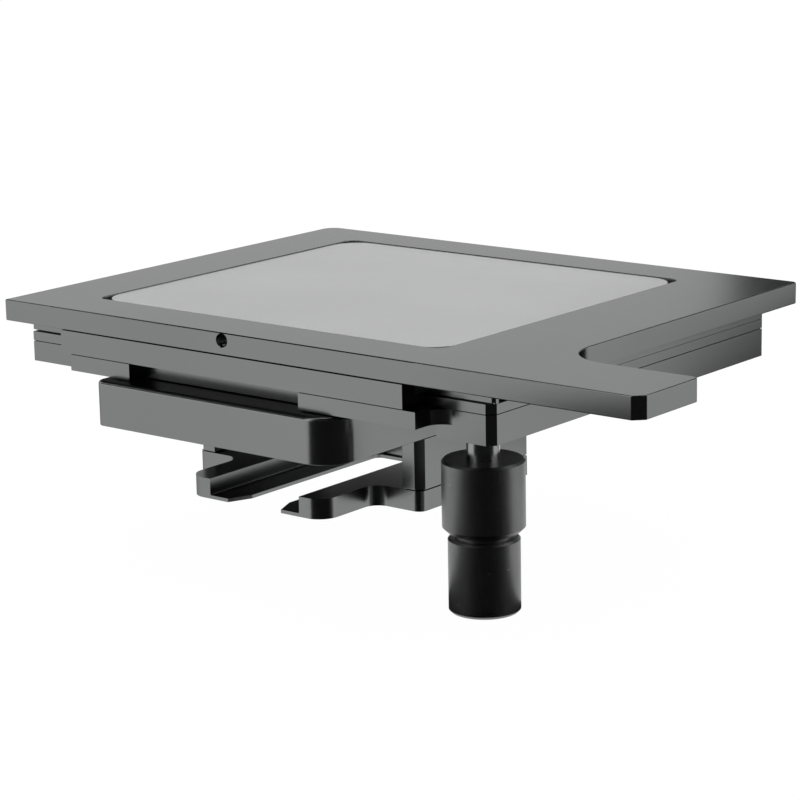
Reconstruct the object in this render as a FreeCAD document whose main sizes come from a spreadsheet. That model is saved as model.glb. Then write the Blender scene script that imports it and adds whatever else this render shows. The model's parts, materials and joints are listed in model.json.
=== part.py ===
import FreeCAD, Part
import math
import os
import re
import Sketcher

# Mechanical microscope stage: fork base, Y carriage with coaxial drive, X table with glass insert.
# Frame: X along the front edge, Y into the depth, Z up; origin on the fork centre line at the seat face.

DIMS = [
    # fork plate
    ("fork_half", 55.9), ("fork_front", -56.5), ("fork_back", 10.0), ("fork_t", 7.8),
    ("fork_corner", 3.5), ("riser_chamfer", 2.8), ("arm_in", 22.2), ("arm_out", 33.9),
    ("arm_tip", -86.6), ("arm_round", 8.0), ("arm_root_round", 6.0), ("wall_foot_round", 0.5),
    ("well_end", 0.0), ("ledge_t", 1.35), ("lip_half", 9.3), ("lip_tip_half", 13.2),
    ("lip_taper_end", -77.2), ("slot_end", -1.6), ("slot_round", 3.0),
    # risers and slab
    ("slab_edge", 1.6), ("riser_w", 8.7), ("slab_z", 27.6), ("slab_t", 17.6), ("slab_front", -107.0),
    ("slab_back", 40.0), ("slab_round", 13.0), ("ear", 5.0), ("ear_back", -80.0), ("ear_round", 3.5),
    ("aperture_half", 36.0), ("aperture_front", -76.0), ("aperture_back", 24.0),
    ("aperture_round", 6.0), ("seat_spare", 1.0), ("seat_z", 12.9),
    # crossed roller guides
    ("roller_r", 1.0), ("roller_len", 1.84), ("chan_half_diag", 1.45), ("rail_gap_half", 0.4),
    ("rail_w", 4.5), ("cage_half_t", 0.2), ("cage_half_h", 1.9), ("window_half", 1.08),
    ("window_half_h", 1.5), ("x_rail_len", 168.0), ("x_rail_mid", 0.4), ("x_chan_z", 58.6),
    ("x_chan_front", -88.8), ("x_chan_rear", 88.5), ("x_rail_lo", 2.5), ("x_in_hi", 2.8),
    ("x_out_hi", 2.1), ("y_rail_len", 86.0), ("y_rail_mid", -7.0), ("y_chan_z", 43.0),
    ("y_rail_lo", 2.5), ("y_in_hi", 2.1), ("y_out_hi", 2.6), ("x_cage_len", 112.0),
    ("y_cage_len", 56.0), ("roller_pitch", 8.0), ("x_rollers", 13), ("y_rollers", 6),
    # carriage plates
    ("stack_left", -112.3), ("stack_right", 113.45), ("stack_front", -88.8), ("stack_back", 88.5),
    ("lower_z", 45.6), ("lower_t", 5.4), ("mid_front", -94.0), ("foot_top", 51.8),
    ("foot_front", -101.5), ("foot_back", 95.3), ("foot_l_in", 33.5), ("foot_l_len", 31.0),
    ("foot_r_in", 23.8), ("foot_r_len", 53.45), ("foot_round", 6.5), ("corner_chamfer", 2.83),
    ("light_left", -76.0), ("light_right", 76.0), ("light_front", -60.0), ("light_back", 70.0),
    ("light_round", 6.0), ("upper_z", 51.0), ("upper_t", 3.9), ("housing_reach", 7.8),
    ("housing_z", 40.1), ("left_bar_right", -92.0), ("left_bar_z", 43.1), ("beam_left", -83.6),
    ("beam_right", 84.05), ("beam_top", 60.9), ("beam_face", 0.4),
    # X table
    ("top_left", -113.4), ("top_right", 125.4), ("top_front", -102.0), ("top_back", 95.5),
    ("top_z", 61.4), ("top_t", 8.4), ("tab_right", 183.5), ("tab_back", -66.8),
    ("tab_inner_round", 19.4), ("tab_chamfer", 3.57), ("tab_far_chamfer", 1.5), ("top_back_round", 6.0),
    ("pane_half", 84.4), ("pane_front", -79.9), ("pane_back", 74.4), ("opening_round", 4.0),
    ("pane_round", 12.0), ("pane_t", 3.0), ("pane_recess", 0.4), ("pane_fit", 0.25),
    ("pane_ledge", 4.0), ("front_hole_x", 0.5), ("front_hole_z", 5.4), ("front_hole_r", 2.5),
    ("front_hole_depth", 14.0), ("frame_z", 55.05), ("frame_front", -87.5), ("frame_chamfer", 1.1),
    ("well_left", 40.0), ("well_back", -62.5),
    # drive
    ("knob_x", 96.7), ("knob_y", -72.0), ("gear_module", 0.8), ("y_teeth", 20.0), ("idler_teeth", 30.0),
    ("x_teeth", 18.0), ("root_share", 1.25), ("pressure_angle", 20.0), ("backlash", 0.24),
    ("y_gear_z", 42.1), ("y_gear_t", 3.0), ("x_gear_z", 55.9), ("x_gear_t", 5.0), ("gear_clear", 0.7),
    ("floor_z", 41.9), ("neck_r", 6.0), ("sleeve_top_r", 3.5), ("shaft_r", 2.5), ("run_fit", 0.05),
    ("sleeve_z", 8.0), ("sleeve_top", 45.2), ("shaft_z", -15.0), ("shaft_top", 61.0),
    ("upper_knob_r", 15.0), ("upper_knob_z", 3.6), ("upper_knob_h", 26.7), ("lower_knob_r", 13.05),
    ("lower_knob_z", -25.8), ("lower_knob_h", 27.5), ("spigot_r", 10.5), ("spigot_h", 1.6),
    ("knob_edge", 0.8), ("knob_foot", 2.0), ("bush_r", 4.5), ("idler_pin_r", 2.0),
    ("idler_pin_z", 42.0), ("rack_back", 2.8), ("y_rack_front", -79.0), ("y_rack_len", 67.0),
    ("rack_z", 39.7), ("rack_top", 45.2), ("x_rack_left", 45.0), ("x_rack_len", 104.0),
    ("x_rack_z", 56.2), ("bracket_front", -40.0), ("bracket_back", -12.0), ("bracket_t", 4.0),
    ("bracket_root", 41.6),
    # screws
    ("m3_r", 1.5), ("m3_head_r", 2.75), ("m3_head_h", 3.0), ("m3_hex", 1.25), ("m5_r", 2.5),
    ("m5_head_r", 4.0), ("m5_head_h", 4.0), ("m5_hex", 2.0), ("hex_depth", 1.4), ("screw_gap", 0.06),
    ("base_screw_front", -46.0), ("base_screw_back", -4.0), ("beam_screw_x", 63.0),
    ("beam_screw_mid", 52.0), ("beam_screw_far", 80.0), ("beam_screw_in", 4.1), ("rear_screw_in", 3.4),
    ("front_screw_in", 17.0), ("edge_screw_in", 5.0), ("bar_screw_front", -45.0),
    ("bar_screw_mid", 12.0), ("bar_screw_far", 45.0), ("frame_screw_in", 12.0),
    ("bracket_screw_in", 3.6), ("bracket_screw_y", 6.0), ("base_tap", 10.0), ("short_tap", 2.0),
    ("frame_tap", 3.0), ("tap_spare", 1.0), ("reveal_h", 0.35), ("reveal_d", 0.8),
    ("set_screw_z_upper", 17.0), ("set_screw_z_lower", -12.0), ("overrun", 1.0),
]

doc = FreeCAD.newDocument("MicroscopeStage")
sheet = doc.addObject("Spreadsheet::Sheet", "Dims")
for row, (alias, value) in enumerate(DIMS, start=1):
    sheet.set("A" + str(row), alias)
    sheet.set("B" + str(row), str(value))
    sheet.setAlias("B" + str(row), alias)
doc.recompute()
ALIASES = {alias for alias, value in DIMS}
NODES = []
TINY = 1e-6
FLANK_STEPS = 3
HEX_TURNS = [math.radians(60 * k) for k in range(6)]
HEX_SHARES = [(str(round(math.cos(a), 5)), str(round(math.sin(a), 5))) for a in HEX_TURNS]


def linked(text):
    """Expression text with each alias pointing at the sheet."""
    def full(match):
        word = match.group(0)
        return "Dims." + word if word in ALIASES else word

    return re.sub(r"[a-z_][a-z0-9_]*", full, text)


def num(text):
    """Present value of an expression in the sheet's aliases."""
    return float(sheet.evalExpression(text))


def new_body(name, x="0", y="0", z="0", yaw=0.0):
    body = doc.addObject("PartDesign::Body", name)
    body.Label = name
    body.AllowCompound = True
    body.Placement = FreeCAD.Placement(
        FreeCAD.Vector(num(x), num(y), num(z)), FreeCAD.Rotation(FreeCAD.Vector(0, 0, 1), yaw))
    for axis, text in zip("xyz", (x, y, z)):
        if text != "0":
            body.setExpression("Placement.Base." + axis, linked(text))
    return body


def plane_of(body, role):
    return next(f for f in body.Origin.OriginFeatures if f.Role == role)


def pin_point(sk, geo, pos, x, y):
    for axis, kind, text in ((-2, "DistanceX", x), (-1, "DistanceY", y)):
        value = num(text)
        if abs(value) < TINY:
            sk.addConstraint(Sketcher.Constraint("PointOnObject", geo, pos, axis))
        else:
            n = sk.addConstraint(Sketcher.Constraint(kind, -1, 1, geo, pos, value))
            sk.setExpression("Constraints[" + str(n) + "]", linked(text))


def sketch(body, name, polys=(), circles=(), level="0", role="XY_Plane"):
    """Closed polygons and circles, every point held by the sheet, on a plane at the given level."""
    sk = body.newObject("Sketcher::SketchObject", body.Name + "_" + name)
    sk.AttachmentSupport = [(plane_of(body, role), "")]
    sk.MapMode = "FlatFace"
    if level != "0":
        sk.AttachmentOffset = FreeCAD.Placement(FreeCAD.Vector(0, 0, num(level)), FreeCAD.Rotation())
        sk.setExpression("AttachmentOffset.Base.z", linked(level))
    for poly in polys:
        first = sk.GeometryCount
        spots = [FreeCAD.Vector(num(x), num(y), 0) for x, y in poly]
        count = len(spots)
        for i in range(count):
            sk.addGeometry(Part.LineSegment(spots[i], spots[(i + 1) % count]), False)
        for i in range(count):
            sk.addConstraint(Sketcher.Constraint("Coincident", first + i, 2, first + (i + 1) % count, 1))
        for i, (x, y) in enumerate(poly):
            pin_point(sk, first + i, 1, x, y)
    for x, y, r in circles:
        centre = FreeCAD.Vector(num(x), num(y), 0)
        geo = sk.addGeometry(Part.Circle(centre, FreeCAD.Vector(0, 0, 1), num(r)), False)
        pin_point(sk, geo, 3, x, y)
        n = sk.addConstraint(Sketcher.Constraint("Radius", geo, num(r)))
        sk.setExpression("Constraints[" + str(n) + "]", linked(r))
    return sk


def boss(body, name, height, **shapes):
    """Pad raised along the sketch normal."""
    sk = sketch(body, name, **shapes)
    pad = body.newObject("PartDesign::Pad", body.Name + "_" + name + "_pad")
    pad.Profile = sk
    pad.Length = num(height)
    pad.setExpression("Length", linked(height))
    sk.Visibility = False
    body.Tip = pad
    doc.recompute()
    return pad


def cut(body, name, depth, **shapes):
    """Pocket sunk against the sketch normal; it has to take material away."""
    before = body.Shape.Volume
    sk = sketch(body, name, **shapes)
    pocket = body.newObject("PartDesign::Pocket", body.Name + "_" + name + "_pocket")
    pocket.Profile = sk
    pocket.Length = num(depth)
    pocket.setExpression("Length", linked(depth))
    body.Tip = pocket
    doc.recompute()
    if body.Shape.Volume > before - TINY:
        raise ValueError("no material removed by " + pocket.Name)
    return pocket


def turned(body, name, profile):
    """Solid of revolution about the body's Z axis from (radius, height) points."""
    sk = sketch(body, name, polys=[profile], role="XZ_Plane")
    rev = body.newObject("PartDesign::Revolution", body.Name + "_" + name + "_rev")
    rev.Profile = sk
    rev.ReferenceAxis = (sk, ["V_Axis"])
    rev.Angle = 360.0
    body.Tip = rev
    doc.recompute()
    return rev


def straight_edges(body, axis, spots):
    """Names of the edges that run along an axis through the given places on the two other axes."""
    others = [k for k in range(3) if k != axis]
    wanted = [[num(text) for text in spot] for spot in spots]
    names = []
    for i, edge in enumerate(body.Tip.Shape.Edges, start=1):
        a = edge.Vertexes[0].Point
        b = edge.Vertexes[-1].Point
        if max(abs(a[k] - b[k]) for k in others) > TINY or abs(a[axis] - b[axis]) < TINY:
            continue
        if any(max(abs(a[k] - w) for k, w in zip(others, spot)) < TINY for spot in wanted):
            names.append("Edge" + str(i))
    if not names:
        raise ValueError("no such edge found on " + body.Name)
    return names


def dress(body, kind, size, spots, axis=2):
    """Fillet or chamfer on straight edges, upright ones at their plan positions unless an axis is given."""
    names = straight_edges(body, axis, spots)
    base = body.Tip
    feature = body.newObject("PartDesign::" + kind, body.Name + "_" + kind + str(len(body.Group)))
    feature.Base = (base, names)
    prop = "Radius" if kind == "Fillet" else "Size"
    setattr(feature, prop, num(size))
    feature.setExpression(prop, linked(size))
    body.Tip = feature
    doc.recompute()
    return feature


def box(x0, y0, x1, y1):
    return [(x0, y0), (x1, y0), (x1, y1), (x0, y1)]


def at(spots, r):
    return [(x, y, r) for x, y in spots]


# places that several pieces share
IDLER_Y = "(knob_y+gear_module*(y_teeth+idler_teeth)/2)"
Y_CHAN_X = "(fork_half+rail_gap_half)"
HOUSING_LEFT = "(knob_x-housing_reach)"
FOOT_L = ("(stack_left+foot_l_in)", "(stack_left+foot_l_in+foot_l_len)")
FOOT_R = ("(stack_right-foot_r_in-foot_r_len)", "(stack_right-foot_r_in)")
BASE_SPOTS = [(side + "(fork_half-riser_w/2)", y)
              for side in ("-", "1*") for y in ("base_screw_front", "base_screw_back")]
FRONT_SPOTS = [(x, "foot_front+beam_screw_in") for x in ("-beam_screw_x", "beam_screw_mid", "beam_screw_far")]
REAR_SPOTS = [(x, "foot_back-rear_screw_in") for x in ("-beam_screw_x", "1*beam_screw_x")]
SIDE_ENDS = ("stack_front+edge_screw_in", "stack_back-edge_screw_in")
HOUSING_SPOTS = [(HOUSING_LEFT + "+front_screw_in", SIDE_ENDS[0])]
HOUSING_SPOTS += [("stack_right-edge_screw_in", y) for y in ("bar_screw_mid", "bar_screw_far", SIDE_ENDS[1])]
LEFT_SPOTS = [("stack_left+edge_screw_in", y) for y in (SIDE_ENDS[0], "bar_screw_mid", SIDE_ENDS[1])]
FRAME_SPOTS = [(x, y) for x in ("stack_left+frame_screw_in", "stack_right-frame_screw_in")
               for y in ("bar_screw_front", "bar_screw_mid", "stack_back-frame_screw_in")]
LIGHT = [("light_left", "light_front"), ("light_right", "light_front"), ("light_right", "light_back"),
         ("light_left", "light_back")]
CHANNELS = {"x_front": ("x_rail_mid", "x_chan_front", "x_chan_z"),
            "x_rear": ("x_rail_mid", "x_chan_rear", "x_chan_z"),
            "y_left": ("-" + Y_CHAN_X, "y_rail_mid", "y_chan_z"),
            "y_right": (Y_CHAN_X, "y_rail_mid", "y_chan_z")}
BRACKET_SPOTS = [("bracket_root+bracket_screw_in", y)
                 for y in ("bracket_front+bracket_screw_y", "bracket_back-bracket_screw_y")]


def pierce(body, name, thick, **shapes):
    """Pocket right through a plate of the given thickness that starts at level zero."""
    return cut(body, name, thick + "+2*overrun", level=thick + "+overrun", **shapes)


def bore(body, name, thick, spots, size):
    """Clearance holes for a screw size right through a plate."""
    return pierce(body, name, thick, circles=at(spots, size + "_r+screw_gap"))


def sink(body, name, spots, size):
    """Seats for the heads of a screw size, sunk from level zero upwards."""
    depth = size + "_head_h"
    return cut(body, name, depth + "+overrun", circles=at(spots, size + "_head_r+screw_gap"), level=depth)


def reveal(body, x0, y0, x1, y1):
    """Shadow line: a shallow rebate round the foot of a block, on the sides that these plan corners reach."""
    outer = box(x0 + "-overrun", y0 + "-overrun", x1 + "+overrun", y1 + "+overrun")
    inner = box(x0 + "+reveal_d", y0 + "+reveal_d", x1 + "-reveal_d", y1 + "-reveal_d")
    return cut(body, "reveal", "reveal_h+overrun", polys=[outer, inner], level="reveal_h")


def screw_group(name, spots, head_z, size, reach, head_up=False):
    """Socket screws with heads from head_z and shanks of the given reach, turned over when the head is up."""
    body = new_body(name, z=head_z)
    if head_up:
        flip = FreeCAD.Rotation(FreeCAD.Vector(1, 0, 0), 180)
        body.Placement = FreeCAD.Placement(body.Placement.Base, flip)
        spots = [(x, "-(" + y + ")") for x, y in spots]
    boss(body, "heads", size + "_head_h", circles=at(spots, size + "_head_r"))
    boss(body, "shanks", reach, circles=at(spots, size + "_r"))
    corners = [(size + "_hex*" + c, size + "_hex*" + s) for c, s in HEX_SHARES]
    sockets = [[("(" + x + ")+" + dx, "(" + y + ")+" + dy) for dx, dy in corners] for x, y in spots]
    cut(body, "sockets", "hex_depth+overrun", polys=sockets, level="hex_depth")
    return body


def fork_plate():
    body = new_body("fork_plate")
    wide = [("-fork_half", "fork_back"), ("-fork_half", "fork_front"), ("-arm_out", "fork_front"),
            ("-arm_out", "arm_tip"), ("-lip_tip_half", "arm_tip"), ("-lip_half", "lip_taper_end"),
            ("-lip_half", "slot_end"), ("lip_half", "slot_end"), ("lip_half", "lip_taper_end"),
            ("lip_tip_half", "arm_tip"), ("arm_out", "arm_tip"), ("arm_out", "fork_front"),
            ("fork_half", "fork_front"), ("fork_half", "fork_back")]
    boss(body, "plate", "fork_t", polys=[wide])
    dress(body, "Fillet", "fork_corner", [("-fork_half", "fork_front"), ("fork_half", "fork_front")])
    dress(body, "Fillet", "arm_round", [("-arm_out", "arm_tip"), ("arm_out", "arm_tip")])
    dress(body, "Fillet", "arm_root_round", [("-arm_out", "fork_front"), ("arm_out", "fork_front")])
    dress(body, "Fillet", "slot_round", [("-lip_half", "slot_end"), ("lip_half", "slot_end")])
    well = box("-arm_in", "arm_tip-overrun", "arm_in", "well_end")
    cut(body, "well", "fork_t-ledge_t+overrun", polys=[well], level="fork_t+overrun")
    dress(body, "Fillet", "slot_round", [("-arm_in", "well_end"), ("arm_in", "well_end")])
    dress(body, "Fillet", "wall_foot_round", [("-arm_in", "ledge_t"), ("arm_in", "ledge_t")], axis=1)
    bore(body, "holes", "fork_t", BASE_SPOTS, "m5")
    sink(body, "sinks", BASE_SPOTS, "m5")
    return body


def riser(name, sign):
    body = new_body(name, z="fork_t")
    outer = sign + "fork_half"
    inner = sign + "(fork_half-riser_w)"
    low, high = sorted((outer, inner), key=num)
    boss(body, "wall", "slab_z-fork_t", polys=[box(low, "fork_front", high, "fork_back")])
    reveal(body, low, "fork_front", high, "fork_back")
    foot_corner = (sign + "(fork_half-reveal_d)", "fork_front+reveal_d")
    dress(body, "Chamfer", "riser_chamfer", [(outer, "fork_front"), foot_corner])
    spots = [spot for spot in BASE_SPOTS if (num(spot[0]) < 0) == (sign == "-")]
    bore(body, "holes", "slab_z-fork_t", spots, "m5")
    return body


def base_slab():
    body = new_body("base_slab", z="slab_z")
    outline = [("-fork_half-ear", "slab_front"), ("fork_half", "slab_front"), ("fork_half", "slab_back"),
               ("-fork_half", "slab_back"), ("-fork_half", "ear_back"), ("-fork_half-ear", "ear_back")]
    boss(body, "plate", "slab_t", polys=[outline])
    dress(body, "Fillet", "slab_round", [("fork_half", "slab_front")])
    dress(body, "Fillet", "ear_round", [("-fork_half-ear", "slab_front"), ("-fork_half-ear", "ear_back")])
    dress(body, "Fillet", "slab_edge", [("slab_front", "slab_t")], axis=0)
    inside = box("-aperture_half", "aperture_front", "aperture_half", "aperture_back")
    pierce(body, "aperture", "slab_t", polys=[inside])
    dress(body, "Fillet", "aperture_round", [(x, y) for x in ("-aperture_half", "aperture_half")
                                             for y in ("aperture_front", "aperture_back")])
    near = "y_rail_mid-y_rail_len/2-seat_spare"
    far = "y_rail_mid+y_rail_len/2+seat_spare"
    seats = [box("-fork_half-overrun", near, "-fork_half+rail_w", far),
             box("fork_half-rail_w", near, "fork_half+overrun", far)]
    cut(body, "rail_seats", "slab_t-seat_z+overrun", polys=seats, level="slab_t+overrun")
    slot = box("bracket_root", "bracket_front", "fork_half+overrun", "bracket_back")
    cut(body, "bracket_slot", "bracket_t", polys=[slot], level="rack_z-slab_z")
    taps = at(BASE_SPOTS, "m5_r+screw_gap")
    cut(body, "taps", "base_tap+tap_spare+overrun", circles=taps, level="base_tap+tap_spare")
    bore(body, "bracket_holes", "rack_z-slab_z-bracket_t", BRACKET_SPOTS, "m3")
    sink(body, "bracket_sinks", BRACKET_SPOTS, "m3")
    return body


def rail(name, channel, yaw, high):
    """Guide rail along its own X: the V groove faces its -Y side, the origin is the roller channel centre."""
    body = new_body(name, *CHANNELS[channel], yaw)
    axis = channel[0]
    length = axis + "_rail_len"
    back = "rail_gap_half+rail_w"
    low = "-" + axis + "_rail_lo"
    section = [("rail_gap_half", low), (back, low), (back, high), ("rail_gap_half", high),
               ("rail_gap_half", "chan_half_diag-rail_gap_half"), ("chan_half_diag", "0"),
               ("rail_gap_half", "rail_gap_half-chan_half_diag")]
    boss(body, "section", length, polys=[section], level="-" + length + "/2", role="YZ_Plane")
    return body


def cage(name, channel, yaw, length, stations):
    """Thin strip between a pair of rails with one window for each roller."""
    body = new_body(name, *CHANNELS[channel], yaw)
    strip = box("-" + length + "/2", "-cage_half_h", length + "/2", "cage_half_h")
    boss(body, "strip", "2*cage_half_t", polys=[strip], level="-cage_half_t", role="XZ_Plane")
    windows = []
    for mid in stations:
        windows.append(box(mid + "-window_half", "-window_half_h", mid + "+window_half", "window_half_h"))
    depth = "2*cage_half_t+2*overrun"
    cut(body, "windows", depth, polys=windows, level="cage_half_t+overrun", role="XZ_Plane")
    return body


def rollers(name, channel, yaw, stations):
    """Crossed rollers: each axis leans 45 degrees, every second one the other way."""
    parts = []
    half = FreeCAD.Vector(0, 0, num("roller_len") / 2)
    for i, station in enumerate(stations):
        turn = FreeCAD.Rotation(FreeCAD.Vector(1, 0, 0), 45 if i % 2 else -45)
        roller = doc.addObject("Part::Cylinder", name + "_" + str(i + 1))
        roller.Radius = num("roller_r")
        roller.Height = num("roller_len")
        roller.setExpression("Radius", linked("roller_r"))
        roller.setExpression("Height", linked("roller_len"))
        roller.Placement = FreeCAD.Placement(FreeCAD.Vector(num(station), 0, 0) - turn.multVec(half), turn)
        parts.append(roller)
    group = doc.addObject("Part::Compound", name)
    group.Label = name
    group.Links = parts
    place(group, *CHANNELS[channel], yaw)
    return group


def place(obj, x, y, z, yaw=0.0):
    obj.Placement = FreeCAD.Placement(
        FreeCAD.Vector(num(x), num(y), num(z)), FreeCAD.Rotation(FreeCAD.Vector(0, 0, 1), yaw))
    for axis, text in zip("xyz", (x, y, z)):
        obj.setExpression("Placement.Base." + axis, linked(text))


def carriage_lower_plate():
    body = new_body("carriage_lower_plate", z="lower_z")
    outline = [("stack_left", "stack_back"), ("stack_left", "stack_front"), (FOOT_L[0], "stack_front"),
               (FOOT_L[0], "foot_front"), (FOOT_L[1], "foot_front"), (FOOT_L[1], "mid_front"),
               (FOOT_R[0], "mid_front"), (FOOT_R[0], "foot_front"), (FOOT_R[1], "foot_front"),
               (FOOT_R[1], "stack_front"), ("stack_right", "stack_front"), ("stack_right", "stack_back"),
               (FOOT_R[1], "stack_back"), (FOOT_R[1], "foot_back"), (FOOT_R[0], "foot_back"),
               (FOOT_R[0], "stack_back"), (FOOT_L[1], "stack_back"), (FOOT_L[1], "foot_back"),
               (FOOT_L[0], "foot_back"), (FOOT_L[0], "stack_back")]
    boss(body, "plate", "lower_t", polys=[outline])
    dress(body, "Fillet", "foot_round", [(FOOT_L[0], "stack_front"), (FOOT_R[1], "stack_front")])
    dress(body, "Chamfer", "corner_chamfer", [("stack_right", "stack_front")])
    edge = "stack_front-beam_face"
    rear = "stack_back+beam_face"
    feet = [box(FOOT_L[0], "foot_front", FOOT_L[1], edge), box(FOOT_R[0], "foot_front", FOOT_R[1], edge),
            box(FOOT_L[0], rear, FOOT_L[1], "foot_back"), box(FOOT_R[0], rear, FOOT_R[1], "foot_back")]
    boss(body, "feet", "foot_top-lower_z-lower_t", polys=feet, level="lower_t")
    pierce(body, "light", "lower_t", polys=[LIGHT])
    dress(body, "Fillet", "light_round", LIGHT)
    holes = at(HOUSING_SPOTS + LEFT_SPOTS, "m3_r+screw_gap")
    holes += [("knob_x", "knob_y", "bush_r"), ("knob_x", IDLER_Y, "idler_pin_r")]
    holes += at(FRONT_SPOTS + REAR_SPOTS, "m3_r+screw_gap")
    pierce(body, "holes", "foot_top-lower_z", circles=holes)
    sink(body, "sinks", FRONT_SPOTS + REAR_SPOTS, "m3")
    return body


def carriage_upper_plate():
    body = new_body("carriage_upper_plate", z="upper_z")
    boss(body, "plate", "upper_t", polys=[box("stack_left", "stack_front", "stack_right", "stack_back")])
    reveal(body, "stack_left-reveal_d", "stack_front", "stack_right", "stack_back")
    foot_corner = ("stack_right-reveal_d", "stack_front+reveal_d")
    dress(body, "Chamfer", "corner_chamfer", [("stack_right", "stack_front"), foot_corner])
    pierce(body, "light", "upper_t", polys=[LIGHT])
    dress(body, "Fillet", "light_round", LIGHT)
    pierce(body, "bush_hole", "upper_t", circles=[("knob_x", "knob_y", "bush_r")])
    cut(body, "taps", "upper_t", circles=at(HOUSING_SPOTS, "m3_r+screw_gap"), level="upper_t-tap_spare")
    bore(body, "bar_holes", "upper_t", LEFT_SPOTS, "m3")
    heads = at(LEFT_SPOTS, "m3_head_r+screw_gap")
    cut(body, "bar_sinks", "m3_head_h+overrun", circles=heads, level="upper_t+overrun")
    return body


def drive_housing():
    body = new_body("drive_housing", z="housing_z")
    outline = box(HOUSING_LEFT, "stack_front", "stack_right", "stack_back")
    boss(body, "bar", "lower_z-housing_z", polys=[outline])
    dress(body, "Chamfer", "corner_chamfer", [("stack_right", "stack_front")])
    wells = [("knob_x", "knob_y", "gear_module*(y_teeth/2+1)+gear_clear"),
             ("knob_x", IDLER_Y, "gear_module*(idler_teeth/2+1)+gear_clear")]
    top = "lower_z-housing_z+overrun"
    for i, well in enumerate(wells):
        cut(body, "well" + str(i), "lower_z-floor_z+overrun", circles=[well], level=top)
    pierce(body, "neck_hole", "floor_z-housing_z", circles=[("knob_x", "knob_y", "neck_r+run_fit")])
    bore(body, "holes", "lower_z-housing_z", HOUSING_SPOTS, "m3")
    sink(body, "sinks", HOUSING_SPOTS, "m3")
    return body


def left_side_bar():
    body = new_body("left_side_bar", z="left_bar_z")
    outline = box("stack_left", "stack_front", "left_bar_right", "stack_back")
    boss(body, "bar", "lower_z-left_bar_z", polys=[outline])
    bore(body, "holes", "lower_z-left_bar_z", LEFT_SPOTS, "m3")
    return body


def beam(name, faces, rebate, spots):
    """Side beam that carries a fixed rail in a rebate and stands on the feet of the lower plate."""
    body = new_body(name, z="foot_top")
    boss(body, "bar", "beam_top-foot_top", polys=[box("beam_left", faces[0], "beam_right", faces[1])])
    reveal(body, "beam_left", faces[0], "beam_right", faces[1])
    seat = box("beam_left-overrun", rebate[0], "beam_right+overrun", rebate[1])
    cut(body, "seat", "beam_top-x_chan_z+x_rail_lo+overrun", polys=[seat], level="beam_top-foot_top+overrun")
    tap = "x_chan_z-x_rail_lo-foot_top-tap_spare"
    cut(body, "taps", tap + "+overrun", circles=at(spots, "m3_r+screw_gap"), level=tap)
    return body


def top_plate():
    body = new_body("top_plate", z="top_z")
    outline = [("top_left", "top_front"), ("tab_right", "top_front"), ("tab_right", "tab_back"),
               ("top_right", "tab_back"), ("top_right", "top_back"), ("top_left", "top_back")]
    boss(body, "plate", "top_t", polys=[outline])
    dress(body, "Fillet", "tab_inner_round", [("top_right", "tab_back")])
    dress(body, "Fillet", "top_back_round", [("top_left", "top_back")])
    dress(body, "Chamfer", "tab_chamfer", [("tab_right", "top_front")])
    dress(body, "Chamfer", "tab_far_chamfer", [("tab_right", "tab_back"), ("top_right", "top_back")])
    opening = box("-pane_half", "pane_front", "pane_half", "pane_back")
    cut(body, "opening", "pane_t+pane_recess+overrun", polys=[opening], level="top_t+overrun")
    dress(body, "Fillet", "opening_round", [(x, y) for x in ("-pane_half", "pane_half")
                                            for y in ("pane_front", "pane_back")])
    inner = "(pane_half-pane_ledge)"
    through = box("-" + inner, "pane_front+pane_ledge", inner, "pane_back-pane_ledge")
    pierce(body, "through", "top_t", polys=[through])
    cut(body, "front_hole", "front_hole_depth", circles=[("front_hole_x", "front_hole_z", "front_hole_r")],
        level="-top_front", role="XZ_Plane")
    cut(body, "taps", "top_t/2+overrun", circles=at(FRAME_SPOTS, "m3_r+screw_gap"), level="top_t/2")
    return body


def glass_plate():
    body = new_body("glass_plate", z="top_z+top_t-pane_recess-pane_t")
    outline = box("-pane_half+pane_fit", "pane_front+pane_fit", "pane_half-pane_fit", "pane_back-pane_fit")
    boss(body, "pane", "pane_t", polys=[outline])
    dress(body, "Fillet", "pane_round", outline)
    return body


def table_frame():
    body = new_body("table_frame", z="frame_z")
    boss(body, "frame", "top_z-frame_z", polys=[box("top_left", "frame_front", "stack_right", "stack_back")])
    dress(body, "Chamfer", "frame_chamfer", [("stack_right", "frame_front")])
    reveal(body, "top_left-reveal_d", "frame_front", "stack_right+reveal_d", "stack_back+reveal_d")
    seat_end = "(x_rail_mid+x_rail_len/2)"
    seat_start = "(x_rail_mid-x_rail_len/2)"
    seat_back = "x_chan_front+rail_gap_half+rail_w"
    spaces = [box(seat_start, "stack_front-overrun", seat_end, seat_back),
              box(seat_start, "x_chan_rear-rail_gap_half-rail_w", seat_end, "stack_back+overrun"),
              box("well_left", seat_back + "-overrun", "stack_right+overrun", "well_back"), LIGHT]
    for i, shape in enumerate(spaces):
        pierce(body, "space" + str(i), "top_z-frame_z", polys=[shape])
    bore(body, "holes", "top_z-frame_z", FRAME_SPOTS, "m3")
    sink(body, "sinks", FRAME_SPOTS, "m3")
    return body


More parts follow.
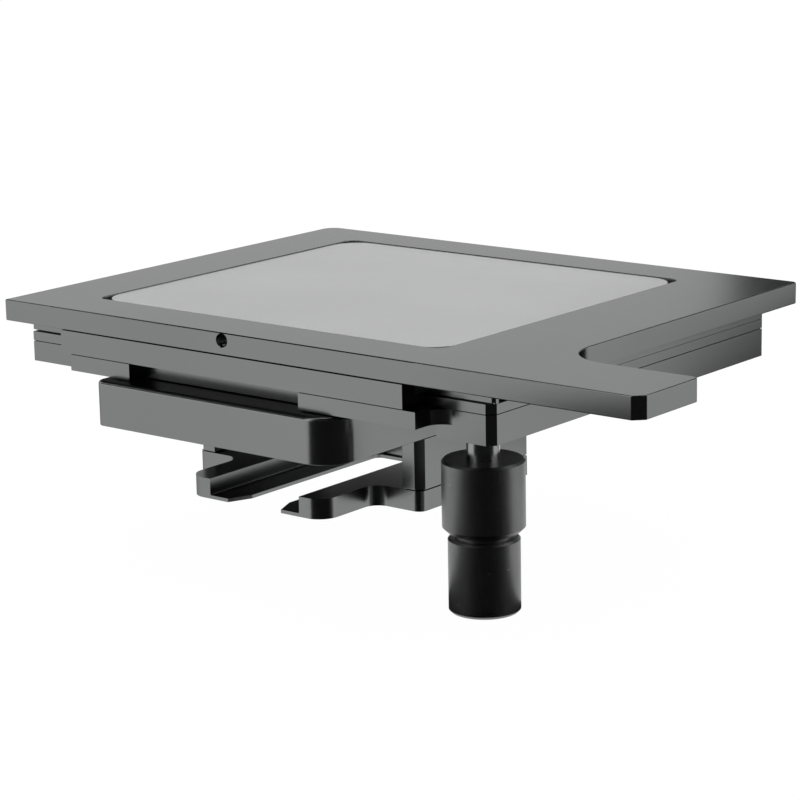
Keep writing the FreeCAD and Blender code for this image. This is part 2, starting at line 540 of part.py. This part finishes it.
def gear_outline(teeth, bore):
    """Involute spur wheel face: flank points follow the base circle, thinned by half the backlash."""
    module = num("gear_module")
    pitch_r = module * teeth / 2
    pressure = math.radians(num("pressure_angle"))
    base_r = pitch_r * math.cos(pressure)
    root_r = pitch_r - num("root_share") * module
    tip_r = pitch_r + module
    half = math.pi / (2 * teeth) - num("backlash") / 4 / pitch_r
    inv_pitch = math.tan(pressure) - pressure
    flank = []
    for k in range(FLANK_STEPS + 1):
        r = max(base_r, root_r) + (tip_r - max(base_r, root_r)) * k / FLANK_STEPS
        press = math.acos(min(1.0, base_r / r))
        flank.append((r, half + inv_pitch - (math.tan(press) - press)))
    points = []
    for tooth in range(int(teeth)):
        mid = 2 * math.pi * tooth / teeth
        side = [(root_r, flank[0][1])] + flank
        points += [(r, mid - a) for r, a in side] + [(r, mid + a) for r, a in reversed(side)]
    rim = [FreeCAD.Vector(r * math.cos(a), r * math.sin(a), 0) for r, a in points]
    face = Part.Face(Part.makePolygon(rim + [rim[0]]))
    hole = Part.Face(Part.Wire(Part.makeCircle(bore)))
    return face.cut(hole)


def gear(name, teeth_key, bore, thick, x, y, z, phase):
    """Wheel whose tooth stands at the phase angle; the sheet gives teeth, bore and thickness."""
    face = gear_outline(num(teeth_key), num(bore))
    obj = doc.addObject("Part::Feature", name)
    obj.Label = name
    obj.Shape = face.extrude(FreeCAD.Vector(0, 0, num(thick)))
    place(obj, x, y, z, phase)
    return obj


def rack(name, length, height, x, y, z, yaw, offset):
    """Rack along its own X from zero: teeth to +Y, pitch line at y = 0, a tooth centred at the offset."""
    module = num("gear_module")
    pitch = math.pi * module
    half = pitch / 4 - num("backlash") / 4
    slope = math.tan(math.radians(num("pressure_angle")))
    root = -num("root_share") * module
    body_len = num(length)
    heel = root - num("rack_back") + module
    points = [FreeCAD.Vector(0, heel, 0), FreeCAD.Vector(0, root, 0)]
    centre = offset % pitch
    while centre < body_len - pitch / 2:
        if centre > pitch / 2:
            for dx, y0 in ((-half + root * slope, root), (-half + module * slope, module),
                           (half - module * slope, module), (half - root * slope, root)):
                points.append(FreeCAD.Vector(centre + dx, y0, 0))
        centre += pitch
    points += [FreeCAD.Vector(body_len, root, 0), FreeCAD.Vector(body_len, heel, 0)]
    face = Part.Face(Part.makePolygon(points + [points[0]]))
    obj = doc.addObject("Part::Feature", name)
    obj.Label = name
    obj.Shape = face.extrude(FreeCAD.Vector(0, 0, num(height)))
    place(obj, x, y, z, yaw)
    return obj


def rack_bracket():
    body = new_body("y_rack_bracket", z="rack_z-bracket_t")
    far = "(knob_x-gear_module*(idler_teeth/2))"
    boss(body, "plate", "bracket_t", polys=[box("bracket_root", "bracket_front", far, "bracket_back")])
    cut(body, "taps", "bracket_t/2+overrun", circles=at(BRACKET_SPOTS, "m3_r+screw_gap"), level="bracket_t/2")
    return body


def upper_knob():
    body = new_body("y_drive_knob", "knob_x", "knob_y", "upper_knob_z")
    r = "upper_knob_r"
    e = "knob_edge"
    top = "upper_knob_h"
    low_bore = "sleeve_z-upper_knob_z"
    profile = [("shaft_r+gear_clear", "0"), (r + "-knob_foot", "0"), (r, "knob_foot"), (r, top + "-" + e),
               (r + "-" + e, top), ("neck_r", top), ("neck_r", low_bore), ("shaft_r+gear_clear", low_bore)]
    turned(body, "body", profile)
    hole = ("0", "set_screw_z_upper-upper_knob_z", "m3_r+screw_gap")
    cut(body, "set_hole", "upper_knob_r+overrun", circles=[hole], level="overrun-neck_r", role="XZ_Plane")
    return body


def lower_knob():
    body = new_body("x_drive_knob", "knob_x", "knob_y", "lower_knob_z")
    r = "lower_knob_r"
    e = "knob_edge"
    top = "lower_knob_h"
    spigot = "lower_knob_h+spigot_h"
    bore_z = "shaft_z-lower_knob_z"
    profile = [("0", "0"), (r + "-" + e, "0"), (r, e), (r, top + "-" + e), (r + "-" + e, top),
               ("spigot_r", top), ("spigot_r", spigot), ("shaft_r", spigot), ("shaft_r", bore_z),
               ("0", bore_z)]
    turned(body, "body", profile)
    hole = ("0", "set_screw_z_lower-lower_knob_z", "m3_r+screw_gap")
    cut(body, "set_hole", "lower_knob_r+overrun", circles=[hole], level="overrun-shaft_r", role="XZ_Plane")
    return body


def sleeve():
    body = new_body("y_drive_sleeve", "knob_x", "knob_y", "sleeve_z")
    bore = "shaft_r+run_fit"
    step = "y_gear_z-sleeve_z"
    top = "sleeve_top-sleeve_z"
    turned(body, "body", [(bore, "0"), ("neck_r", "0"), ("neck_r", step), ("sleeve_top_r", step),
                          ("sleeve_top_r", top), (bore, top)])
    return body


def plain_pin(name, x, y, z, r, height):
    body = new_body(name, x, y, z)
    boss(body, "pin", height, circles=[("0", "0", r)])
    return body


def shaft_bush():
    body = new_body("shaft_bush", "knob_x", "knob_y", "lower_z")
    height = "upper_z+upper_t-lower_z"
    boss(body, "ring", height, circles=[("0", "0", "bush_r"), ("0", "0", "shaft_r+run_fit")])
    return body


def set_screw(name, z, inner, outer):
    body = new_body(name, "knob_x", "knob_y", z)
    boss(body, "screw", outer + "-" + inner, circles=[("0", "0", "m3_r")], level="-" + outer, role="XZ_Plane")
    return body


def keep(obj):
    NODES.append(obj)
    return obj


def build_base():
    keep(fork_plate())
    keep(riser("riser_left", "-"))
    keep(riser("riser_right", "1*"))
    keep(base_slab())
    keep(screw_group("base_screws", BASE_SPOTS, "0", "m5", "slab_z+base_tap"))
    keep(rail("y_rail_inner_left", "y_left", -90.0, "y_in_hi"))
    keep(rail("y_rail_inner_right", "y_right", 90.0, "y_in_hi"))
    keep(rack_bracket())
    keep(screw_group("rack_bracket_screws", BRACKET_SPOTS, "slab_z", "m3", "rack_z-bracket_t/2-slab_z"))


def build_carriage():
    keep(carriage_lower_plate())
    keep(carriage_upper_plate())
    keep(drive_housing())
    keep(left_side_bar())
    keep(beam("front_beam", ("foot_front", "x_chan_front-beam_face"),
              ("x_chan_front", "x_chan_front-rail_gap_half-rail_w"), FRONT_SPOTS))
    keep(beam("rear_beam", ("x_chan_rear+beam_face", "foot_back"),
              ("x_chan_rear", "x_chan_rear+rail_gap_half+rail_w"), REAR_SPOTS))
    keep(rail("y_rail_outer_left", "y_left", 90.0, "y_out_hi"))
    keep(rail("y_rail_outer_right", "y_right", -90.0, "y_out_hi"))
    keep(rail("x_rail_outer_front", "x_front", 180.0, "x_out_hi"))
    keep(rail("x_rail_outer_rear", "x_rear", 0.0, "x_out_hi"))
    keep(shaft_bush())
    keep(plain_pin("idler_pin", "knob_x", IDLER_Y, "idler_pin_z", "idler_pin_r", "upper_z-idler_pin_z"))
    keep(screw_group("housing_screws", HOUSING_SPOTS, "housing_z", "m3", "upper_z-housing_z+short_tap"))
    top = "upper_z+upper_t"
    keep(screw_group("side_bar_screws", LEFT_SPOTS, top, "m3", top + "-left_bar_z", head_up=True))
    keep(screw_group("beam_screws", FRONT_SPOTS + REAR_SPOTS, "lower_z", "m3", "foot_top-lower_z+short_tap"))


def build_table():
    keep(top_plate())
    keep(glass_plate())
    keep(table_frame())
    keep(rail("x_rail_inner_front", "x_front", 0.0, "x_in_hi"))
    keep(rail("x_rail_inner_rear", "x_rear", 180.0, "x_in_hi"))
    keep(screw_group("table_screws", FRAME_SPOTS, "frame_z", "m3", "top_z-frame_z+frame_tap"))


def build_drives():
    pitch = math.pi * num("gear_module")
    x_line = "(knob_y-gear_module*x_teeth/2)"
    y_line = "(knob_x-gear_module*idler_teeth/2)"
    idler_y = num(IDLER_Y)
    keep(rack("x_rack", "x_rack_len", "top_z-x_rack_z", "x_rack_left", x_line, "x_rack_z", 0.0,
              num("knob_x-x_rack_left") + pitch / 2))
    keep(rack("y_rack", "y_rack_len", "rack_top-rack_z", y_line, "y_rack_front+y_rack_len", "rack_z", -90.0,
              num("y_rack_front+y_rack_len") - idler_y + pitch / 2))
    drive_axis = ("knob_x", "knob_y")
    idler_axis = ("knob_x", IDLER_Y)
    keep(gear("x_drive_pinion", "x_teeth", "shaft_r", "x_gear_t", *drive_axis, "x_gear_z", -90.0))
    hub = "idler_pin_r+run_fit"
    keep(gear("y_idler_gear", "idler_teeth", hub, "y_gear_t", *idler_axis, "y_gear_z", 180.0))
    # the idler has a tooth at its rack; the quarter turn from there to the drive gear sets that gear's phase
    phase = 90.0 + 360.0 * (num("idler_teeth") / 4 + 0.5) / num("y_teeth")
    keep(gear("y_drive_gear", "y_teeth", "sleeve_top_r", "y_gear_t", *drive_axis, "y_gear_z", phase))
    keep(upper_knob())
    keep(sleeve())
    keep(set_screw("y_knob_set_screw", "set_screw_z_upper", "neck_r", "upper_knob_r-knob_edge"))
    keep(set_screw("x_knob_set_screw", "set_screw_z_lower", "shaft_r", "lower_knob_r-knob_edge"))
    keep(lower_knob())
    keep(plain_pin("x_drive_shaft", "knob_x", "knob_y", "shaft_z", "shaft_r", "shaft_top-shaft_z"))


def build_cages():
    for channel, yaw in (("x_front", 0.0), ("x_rear", 0.0), ("y_left", 90.0), ("y_right", 90.0)):
        axis, place_name = channel.split("_")
        count = int(num(axis + "_rollers"))
        stations = ["roller_pitch*" + str(i - (count - 1) / 2) for i in range(count)]
        keep(cage(axis + "_cage_" + place_name, channel, yaw, axis + "_cage_len", stations))
        keep(rollers(axis + "_rollers_" + place_name, channel, yaw, stations))


build_base()
build_carriage()
build_table()
build_drives()
build_cages()
doc.recompute()

for obj in doc.Objects:
    if any(word in obj.State for word in ("Invalid", "Error")):
        raise ValueError("not built: " + obj.Name + " " + str(obj.State))
for node in NODES:
    if node.Shape.isNull() or not node.Shape.isValid():
        raise ValueError("bad shape: " + node.Label)
    node.Shape.exportStep(os.path.join("parts", node.Label + ".step"))
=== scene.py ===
import json
import math

import bmesh
import bpy
from mathutils import Matrix, Vector


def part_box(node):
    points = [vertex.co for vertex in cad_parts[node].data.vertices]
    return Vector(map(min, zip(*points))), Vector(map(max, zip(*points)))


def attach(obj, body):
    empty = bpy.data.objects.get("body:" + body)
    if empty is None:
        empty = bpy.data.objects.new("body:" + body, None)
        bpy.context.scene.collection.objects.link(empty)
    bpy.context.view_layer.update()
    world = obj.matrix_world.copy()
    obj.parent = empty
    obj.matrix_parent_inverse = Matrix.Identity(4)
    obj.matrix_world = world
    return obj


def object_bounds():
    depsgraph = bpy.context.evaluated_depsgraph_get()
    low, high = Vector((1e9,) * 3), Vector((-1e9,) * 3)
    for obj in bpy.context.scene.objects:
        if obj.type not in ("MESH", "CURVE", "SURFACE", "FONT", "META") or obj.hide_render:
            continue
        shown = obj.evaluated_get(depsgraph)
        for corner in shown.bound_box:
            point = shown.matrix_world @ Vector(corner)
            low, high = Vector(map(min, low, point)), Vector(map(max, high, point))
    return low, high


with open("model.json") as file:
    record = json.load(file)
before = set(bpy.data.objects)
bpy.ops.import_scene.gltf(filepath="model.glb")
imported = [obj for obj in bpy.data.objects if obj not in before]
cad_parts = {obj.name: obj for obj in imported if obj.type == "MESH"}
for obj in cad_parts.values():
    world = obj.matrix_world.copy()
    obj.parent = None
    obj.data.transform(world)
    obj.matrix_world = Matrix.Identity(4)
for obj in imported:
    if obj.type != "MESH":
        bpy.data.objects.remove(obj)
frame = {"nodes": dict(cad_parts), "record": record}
cad_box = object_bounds()
scene = bpy.context.scene

MM = 0.001
low_z = cad_box[0][2]


# Node helpers
NOISE_LOW, NOISE_HIGH = 0.3, 0.7    # a noise has most of its values between these
BUMP_DEPTH = 0.2 * MM


def tree_of(name):
    """New node material with its node list, its links and its Principled shader."""
    mat = bpy.data.materials.new(name)
    mat.use_nodes = True
    nodes = mat.node_tree.nodes
    return mat, nodes, mat.node_tree.links, nodes["Principled BSDF"]


def grey(value):
    return (value, value, value)


def noise(nodes, links, scale, detail=4.0, rough=0.55, stretch=None):
    """Noise in the object's own coordinates; stretch scales it along x, y and z."""
    tex = nodes.new("ShaderNodeTexNoise")
    tex.inputs["Scale"].default_value = scale
    tex.inputs["Detail"].default_value = detail
    tex.inputs["Roughness"].default_value = rough
    place = nodes.new("ShaderNodeTexCoord").outputs["Object"]
    if stretch is not None:
        mapping = nodes.new("ShaderNodeMapping")
        mapping.inputs["Scale"].default_value = stretch
        links.new(place, mapping.inputs["Vector"])
        place = mapping.outputs["Vector"]
    links.new(place, tex.inputs["Vector"])
    return tex.outputs["Fac"]


def blend(nodes, links, source, low, high, start=NOISE_LOW, end=NOISE_HIGH):
    """Colour that goes from low to high while the source goes from start to end."""
    node = nodes.new("ShaderNodeValToRGB")
    links.new(source, node.inputs["Fac"])
    stops = node.color_ramp.elements
    for i, (place, colour) in enumerate(((start, low), (end, high))):
        stops[i].position = place
        stops[i].color = (*colour, 1.0)
    return node.outputs["Color"]


def spread(nodes, links, source, low, high):
    """Number that goes from low to high over a noise's usual range."""
    node = nodes.new("ShaderNodeMapRange")
    node.inputs["From Min"].default_value = NOISE_LOW
    node.inputs["From Max"].default_value = NOISE_HIGH
    node.inputs["To Min"].default_value = low
    node.inputs["To Max"].default_value = high
    links.new(source, node.inputs["Value"])
    return node.outputs["Result"]


def bumped(nodes, links, shader, source, strength):
    bump = nodes.new("ShaderNodeBump")
    bump.inputs["Strength"].default_value = strength
    bump.inputs["Distance"].default_value = BUMP_DEPTH
    links.new(source, bump.inputs["Height"])
    links.new(bump.outputs["Normal"], shader.inputs["Normal"])


# Materials
DRIFT_SHARE = 0.25            # scales of a metal's tone drift and of its grain, against its own scale
GRAIN_SHARE = 40.0
ROUGH_SPREAD = (0.93, 1.08)   # least and greatest roughness, against the mean


def metal(name, dark, light, rough, scale=40.0, grain=(1.0, 1.0, 1.0), bump=0.05, edge=1.0):
    """Satin metal: broad tone drift, fine grain in the roughness and a shallow grain bump."""
    mat, nodes, links, shader = tree_of(name)
    drift = noise(nodes, links, scale * DRIFT_SHARE, detail=3.0)
    fine = noise(nodes, links, scale * GRAIN_SHARE, rough=0.6, stretch=grain)
    least, greatest = (rough * share for share in ROUGH_SPREAD)
    links.new(blend(nodes, links, drift, dark, light), shader.inputs["Base Color"])
    links.new(spread(nodes, links, fine, least, greatest), shader.inputs["Roughness"])
    shader.inputs["Metallic"].default_value = 1.0
    shader.inputs["Specular Tint"].default_value = (*grey(edge), 1.0)
    bumped(nodes, links, shader, fine, bump)
    return mat


def knob_material():
    """Satin black knob: soft sheen, fine turning and a few pale rubbed spots."""
    mat, nodes, links, shader = tree_of("knob_satin_black")
    drift = noise(nodes, links, 60.0, detail=5.0)
    spots = noise(nodes, links, 420.0, detail=2.0, rough=0.4)
    turning = noise(nodes, links, 900.0, rough=0.6, stretch=(1.0, 1.0, 0.25))
    mix = nodes.new("ShaderNodeMix")
    mix.data_type = "RGBA"
    mix.inputs["B"].default_value = (0.34, 0.345, 0.34, 1.0)
    links.new(blend(nodes, links, spots, grey(0.0), grey(1.0), start=0.735, end=0.77), mix.inputs["Factor"])
    links.new(blend(nodes, links, drift, (0.155, 0.158, 0.157), (0.175, 0.178, 0.177), start=0.35, end=0.68),
              mix.inputs["A"])
    links.new(mix.outputs["Result"], shader.inputs["Base Color"])
    links.new(spread(nodes, links, turning, 0.35, 0.40), shader.inputs["Roughness"])
    shader.inputs["Metallic"].default_value = 1.0
    bumped(nodes, links, shader, turning, 0.08)
    return mat


def glass_material():
    """Pale frosted glass insert with a faint milky drift."""
    mat, nodes, links, shader = tree_of("frosted_glass")
    drift = noise(nodes, links, 9.0, detail=3.0)
    frost = noise(nodes, links, 500.0)
    milk = blend(nodes, links, drift, (0.60, 0.604, 0.608), (0.68, 0.684, 0.688))
    links.new(milk, shader.inputs["Base Color"])
    links.new(spread(nodes, links, frost, 0.42, 0.46), shader.inputs["Roughness"])
    shader.inputs["Transmission Weight"].default_value = 0.15
    shader.inputs["IOR"].default_value = 1.5
    bumped(nodes, links, shader, drift, 0.05)
    return mat


MATERIALS = {
    "anodised": metal("anodised_grey", (0.202, 0.206, 0.206), (0.218, 0.222, 0.222), rough=0.22,
                      bump=0.015, edge=0.5),
    "rail_steel": metal("ground_steel", (0.50, 0.51, 0.52), (0.60, 0.61, 0.62), rough=0.24,
                        scale=30.0, grain=(0.1, 1.0, 1.0)),
    "screw_steel": metal("black_oxide_steel", (0.05, 0.05, 0.052), (0.08, 0.08, 0.083), rough=0.32,
                         scale=60.0),
    "sleeve_black": metal("turned_black_steel", (0.22, 0.225, 0.225), (0.30, 0.305, 0.305), rough=0.2,
                          scale=60.0, grain=(0.2, 0.2, 4.0)),
    "brass": metal("machined_brass", (0.66, 0.47, 0.20), (0.78, 0.60, 0.30), rough=0.26, scale=50.0),
    "cage_brass": metal("rolled_brass", (0.62, 0.46, 0.22), (0.74, 0.58, 0.31), rough=0.3,
                        scale=50.0, grain=(0.2, 1.0, 1.0)),
    "knob_black": knob_material(),
    "glass": glass_material(),
}
for part in frame["record"]["subparts"]:
    obj = frame["nodes"][part["node"]]
    material = MATERIALS[part["material_slot"]]
    if obj.material_slots:
        for slot in obj.material_slots:
            slot.material = material
    else:
        obj.data.materials.append(material)


# Meshes
def mesh_object(name, corners, faces, material, closed=False):
    """Object with the given corners and the faces between them; a closed one gets its normals turned out."""
    bm = bmesh.new()
    points = [bm.verts.new(corner) for corner in corners]
    for face in faces:
        bm.faces.new([points[i] for i in face])
    if closed:
        bmesh.ops.recalc_face_normals(bm, faces=bm.faces)
    mesh = bpy.data.meshes.new(name)
    bm.to_mesh(mesh)
    bm.free()
    mesh.materials.append(material)
    obj = bpy.data.objects.new(name, mesh)
    scene.collection.objects.link(obj)
    return obj


# Thread of the front hole: an M5 thread, whose foot lies just inside the wall of the bore
THREAD_PITCH = 0.8 * MM
THREAD_ROOT_R = 2.52 * MM
THREAD_CREST_R = 2.16 * MM
THREAD_TURNS = 13
THREAD_DEPTH = 1.2 * MM   # from the front edge to where the thread starts
FOOT_HALF = 0.46          # half widths of the ridge at its foot and crest, in pitches
CREST_HALF = 0.06
LEAD_IN = 0.5             # from the thread's start to the middle of its ridge, in pitches
FADE_TURNS = 0.5          # over which each end of the ridge rises from the wall


def thread(name, mouth, around=32):
    """Helical ridge on the wall of a bore that runs along +Y from its mouth."""
    steps = THREAD_TURNS * around
    corners = []
    faces = []
    for k in range(steps + 1):
        turn = 2.0 * math.pi * k / around
        fade = min(1.0, k / around / FADE_TURNS, (steps - k) / around / FADE_TURNS)
        crest_r = THREAD_ROOT_R + (THREAD_CREST_R - THREAD_ROOT_R) * fade
        profile = ((THREAD_ROOT_R, -FOOT_HALF), (crest_r, -CREST_HALF),
                   (crest_r, CREST_HALF), (THREAD_ROOT_R, FOOT_HALF))
        for radius, along in profile:
            corners.append((mouth[0] + math.cos(turn) * radius,
                            mouth[1] + THREAD_PITCH * (LEAD_IN + k / around + along),
                            mouth[2] + math.sin(turn) * radius))
    sides = len(profile)
    for first in range(0, steps * sides, sides):
        for i in range(sides):
            j = (i + 1) % sides
            faces.append((first + i, first + j, first + sides + j, first + sides + i))
    faces.append(range(sides))
    faces.append(range(steps * sides, (steps + 1) * sides))
    obj = mesh_object(name, corners, faces, MATERIALS["anodised"], closed=True)
    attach(obj, "x_table")


hole_x, _, hole_z = next(mount["pos_m"] for mount in frame["record"]["mounts"]
                         if mount["name"] == "front_threaded_hole")
plate_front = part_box("top_plate")[0][1]
thread("front_hole_thread", (hole_x, plate_front + THREAD_DEPTH, hole_z))


# Camera, from the long edges of the photographed plates
CAMERA_AT = Vector((0.6578, -0.8132, 0.2717))
RIGHT = Vector((0.7807, 0.6246, -0.0189))
UP = Vector((-0.1294, 0.1912, 0.9730))
BACK = Vector((0.6114, -0.7572, 0.2301))
SENSOR_MM = 36.0
FOCAL_MM = 121.947
FARTHEST = 20.0
camera_data = bpy.data.cameras.new("camera")
camera_data.sensor_width = SENSOR_MM
camera_data.lens = FOCAL_MM
camera_data.clip_end = FARTHEST
camera = bpy.data.objects.new("camera", camera_data)
scene.collection.objects.link(camera)
camera.matrix_world = Matrix.Translation(CAMERA_AT) @ Matrix((RIGHT, UP, BACK)).transposed().to_4x4()
scene.camera = camera
scene.view_settings.view_transform = "Standard"


# Lamps
STAGE_MIDDLE = (0.0, 0.0, 0.04)
TABLE_MIDDLE = (0.0, 0.0, 0.06)


def area(name, place, target, width, height, radiance):
    """Soft box given by how bright its face looks; one equals the white surround."""
    data = bpy.data.lights.new(name, "AREA")
    data.shape = "RECTANGLE"
    data.size = width
    data.size_y = height
    data.energy = math.pi * width * height * radiance
    lamp = bpy.data.objects.new(name, data)
    scene.collection.objects.link(lamp)
    aim = (Vector(target) - Vector(place)).to_track_quat("-Z", "Y")
    lamp.matrix_world = Matrix.Translation(place) @ aim.to_matrix().to_4x4()


area("soft_left", (-1.1, -1.3, 0.55), STAGE_MIDDLE, width=1.5, height=1.1, radiance=0.45)
area("soft_right", (1.25, 0.95, 0.5), STAGE_MIDDLE, width=1.5, height=1.0, radiance=0.4)
area("soft_top", (-0.5, 0.6, 1.5), TABLE_MIDDLE, width=1.8, height=1.8, radiance=0.45)
area("soft_back", (-1.2, 1.6, 0.6), TABLE_MIDDLE, width=1.8, height=0.9, radiance=0.35)


# World and floor: white to the eye, off metal and through glass, plain light to everything else
WHITE = (*grey(1.0), 1.0)
SURROUND_LIGHT = 0.45      # the world's strength on the object; the eye sees one
FLOOR_HALF = 8.0
FLOOR_GAP = 0.5 * MM       # between the lowest point and the floor
FLOOR_GLOW = 1.05
FLOOR_GLOW_SHARE = 0.93    # the rest of the floor takes the lamps' light and the shadow


def eye_share(nodes, links, share):
    """The given share on rays from the camera, off metal and through glass, zero on every other ray."""
    light_path = nodes.new("ShaderNodeLightPath")
    last = light_path.outputs["Is Camera Ray"]
    for name in ("Is Glossy Ray", "Is Transmission Ray"):
        joined = nodes.new("ShaderNodeMath")
        joined.operation = "MAXIMUM"
        links.new(last, joined.inputs[0])
        links.new(light_path.outputs[name], joined.inputs[1])
        last = joined.outputs["Value"]
    scaled = nodes.new("ShaderNodeMath")
    scaled.operation = "MULTIPLY"
    scaled.inputs[1].default_value = share
    links.new(last, scaled.inputs[0])
    return scaled.outputs["Value"]


def white_world():
    world = bpy.data.worlds.new("studio")
    scene.world = world
    world.use_nodes = True
    nodes = world.node_tree.nodes
    links = world.node_tree.links
    strength = nodes.new("ShaderNodeMapRange")
    strength.inputs["To Min"].default_value = SURROUND_LIGHT
    strength.inputs["To Max"].default_value = 1.0
    links.new(eye_share(nodes, links, 1.0), strength.inputs["Value"])
    links.new(strength.outputs["Result"], nodes["Background"].inputs["Strength"])
    nodes["Background"].inputs["Color"].default_value = WHITE


def floor_material():
    """Pale floor that glows to the eye and keeps a trace of the shadow."""
    mat, nodes, links, shader = tree_of("floor_white")
    grain = noise(nodes, links, 3.0)
    links.new(blend(nodes, links, grain, grey(0.80), grey(0.82)), shader.inputs["Base Color"])
    shader.inputs["Roughness"].default_value = 0.9
    glow = nodes.new("ShaderNodeEmission")
    glow.inputs["Color"].default_value = WHITE
    glow.inputs["Strength"].default_value = FLOOR_GLOW
    mixer = nodes.new("ShaderNodeMixShader")
    links.new(eye_share(nodes, links, FLOOR_GLOW_SHARE), mixer.inputs["Fac"])
    links.new(shader.outputs["BSDF"], mixer.inputs[1])
    links.new(glow.outputs["Emission"], mixer.inputs[2])
    links.new(mixer.outputs["Shader"], nodes["Material Output"].inputs["Surface"])
    return mat


def floor():
    half = FLOOR_HALF
    z = low_z - FLOOR_GAP
    corners = [(x, y, z) for x, y in ((-half, -half), (half, -half), (half, half), (-half, half))]
    mesh_object("floor", corners, [range(4)], floor_material())


white_world()
floor()


# Flags: black cloth round the set that shows in reflections only, and draws the plates' edges and dark faces
FLAG_GROUND = low_z + 1 * MM
KNOB_GROUND = low_z + 2 * MM
WALL_R = 1.3                        # radius at which the walls stand
WALL_FOOT = (WALL_R, FLAG_GROUND)   # radius and height of the walls' and the roof's edges
FRONT_WALL_TOP = (WALL_R, 0.48)
REAR_WALL_TOP = (WALL_R, 0.15)
CORNER_WALL_TOP = (WALL_R, 0.6)
EAVES_FOOT = (WALL_R, 0.25)
ROOF_FOOT = (1.0, 0.66)
ROOF_TOP = (0.3, 1.4)
ARM_TIP = (0.03, -0.084)            # x and y that the fans spread from
KNOB_FRONT = (0.099, -0.086)
REAR_CORNER = (0.2, 0.1)
STAGE_CENTRE = (0.0, 0.0)


def cloth_material():
    mat, nodes, links, shader = tree_of("flag_cloth")
    weave = noise(nodes, links, 90.0)
    links.new(blend(nodes, links, weave, grey(0.008), grey(0.014)), shader.inputs["Base Color"])
    shader.inputs["Roughness"].default_value = 0.95
    return mat


def flag(name, corners):
    obj = mesh_object(name, corners, [range(4)], cloth)
    obj.visible_camera = False
    obj.visible_diffuse = False
    obj.visible_shadow = False
    obj.visible_transmission = False


def flag_fan(name, apex, near, far, start, end, count=8):
    """Fan of flags between two compass angles in degrees; near and far are its edges' radius and height."""
    for i in range(count):
        corners = []
        for k, (radius, height) in ((i, near), (i, far), (i + 1, far), (i + 1, near)):
            turn = math.radians(start + (end - start) * k / count)
            corners.append((apex[0] + math.cos(turn) * radius, apex[1] + math.sin(turn) * radius, height))
        flag(name + "_" + str(i), corners)


cloth = cloth_material()
flag_fan("flag_low_left", ARM_TIP, (0.042, FLAG_GROUND), WALL_FOOT, start=-104.0, end=-66.0, count=3)
flag_fan("flag_low", ARM_TIP, (0.022, FLAG_GROUND), WALL_FOOT, start=-66.0, end=19.0, count=6)
flag_fan("flag_high", ARM_TIP, WALL_FOOT, FRONT_WALL_TOP, start=-98.0, end=6.0)
flag_fan("flag_knob", KNOB_FRONT, (0.001, KNOB_GROUND), (0.11, KNOB_GROUND), start=-107.0, end=10.0)
flag_fan("flag_rear_low", REAR_CORNER, (0.05, FLAG_GROUND), WALL_FOOT, start=69.0, end=125.5, count=4)
flag_fan("flag_rear_mid", REAR_CORNER, WALL_FOOT, REAR_WALL_TOP, start=69.0, end=113.0, count=3)
flag_fan("flag_rear_high", REAR_CORNER, WALL_FOOT, CORNER_WALL_TOP, start=113.0, end=125.8, count=1)
flag_fan("flag_roof_left", STAGE_CENTRE, ROOF_FOOT, ROOF_TOP, start=-214.0, end=-118.0, count=6)
flag_fan("flag_eaves_left", STAGE_CENTRE, EAVES_FOOT, ROOF_FOOT, start=-142.0, end=-118.0, count=2)
flag_fan("flag_eaves_right", STAGE_CENTRE, EAVES_FOOT, ROOF_FOOT, start=50.0, end=80.0, count=2)
flag_fan("flag_roof_front", STAGE_CENTRE, FRONT_WALL_TOP, ROOF_TOP, start=-98.0, end=6.0, count=6)
flag_fan("flag_roof_right", STAGE_CENTRE, ROOF_FOOT, ROOF_TOP, start=50.0, end=100.0, count=3)


# Soft edges of the long plates
EDGE_WIDTH = {
    "top_plate": 0.42 * MM,
    "base_slab": 0.35 * MM,
    "riser_left": 0.25 * MM,
    "riser_right": 0.25 * MM,
}
WELD_DISTANCE = 0.01 * MM
FLAT_WITHIN = math.radians(0.5)    # triangles that meet flatter than this become one face
EDGE_FROM = math.radians(40.0)     # edges that turn by more than this are softened


def soften(obj, width):
    """Joins the triangles into whole faces, breaks the sharp edges and keeps the faces' shading flat."""
    weld = obj.modifiers.new("weld", "WELD")
    weld.merge_threshold = WELD_DISTANCE
    flat = obj.modifiers.new("whole_faces", "DECIMATE")
    flat.decimate_type = "DISSOLVE"
    flat.angle_limit = FLAT_WITHIN
    bevel = obj.modifiers.new("soft_edges", "BEVEL")
    bevel.width = width
    bevel.segments = 2
    bevel.limit_method = "ANGLE"
    bevel.angle_limit = EDGE_FROM
    bevel.use_clamp_overlap = False
    shading = obj.modifiers.new("face_shading", "WEIGHTED_NORMAL")
    shading.weight = 100


for node, width in EDGE_WIDTH.items():
    soften(frame["nodes"][node], width)
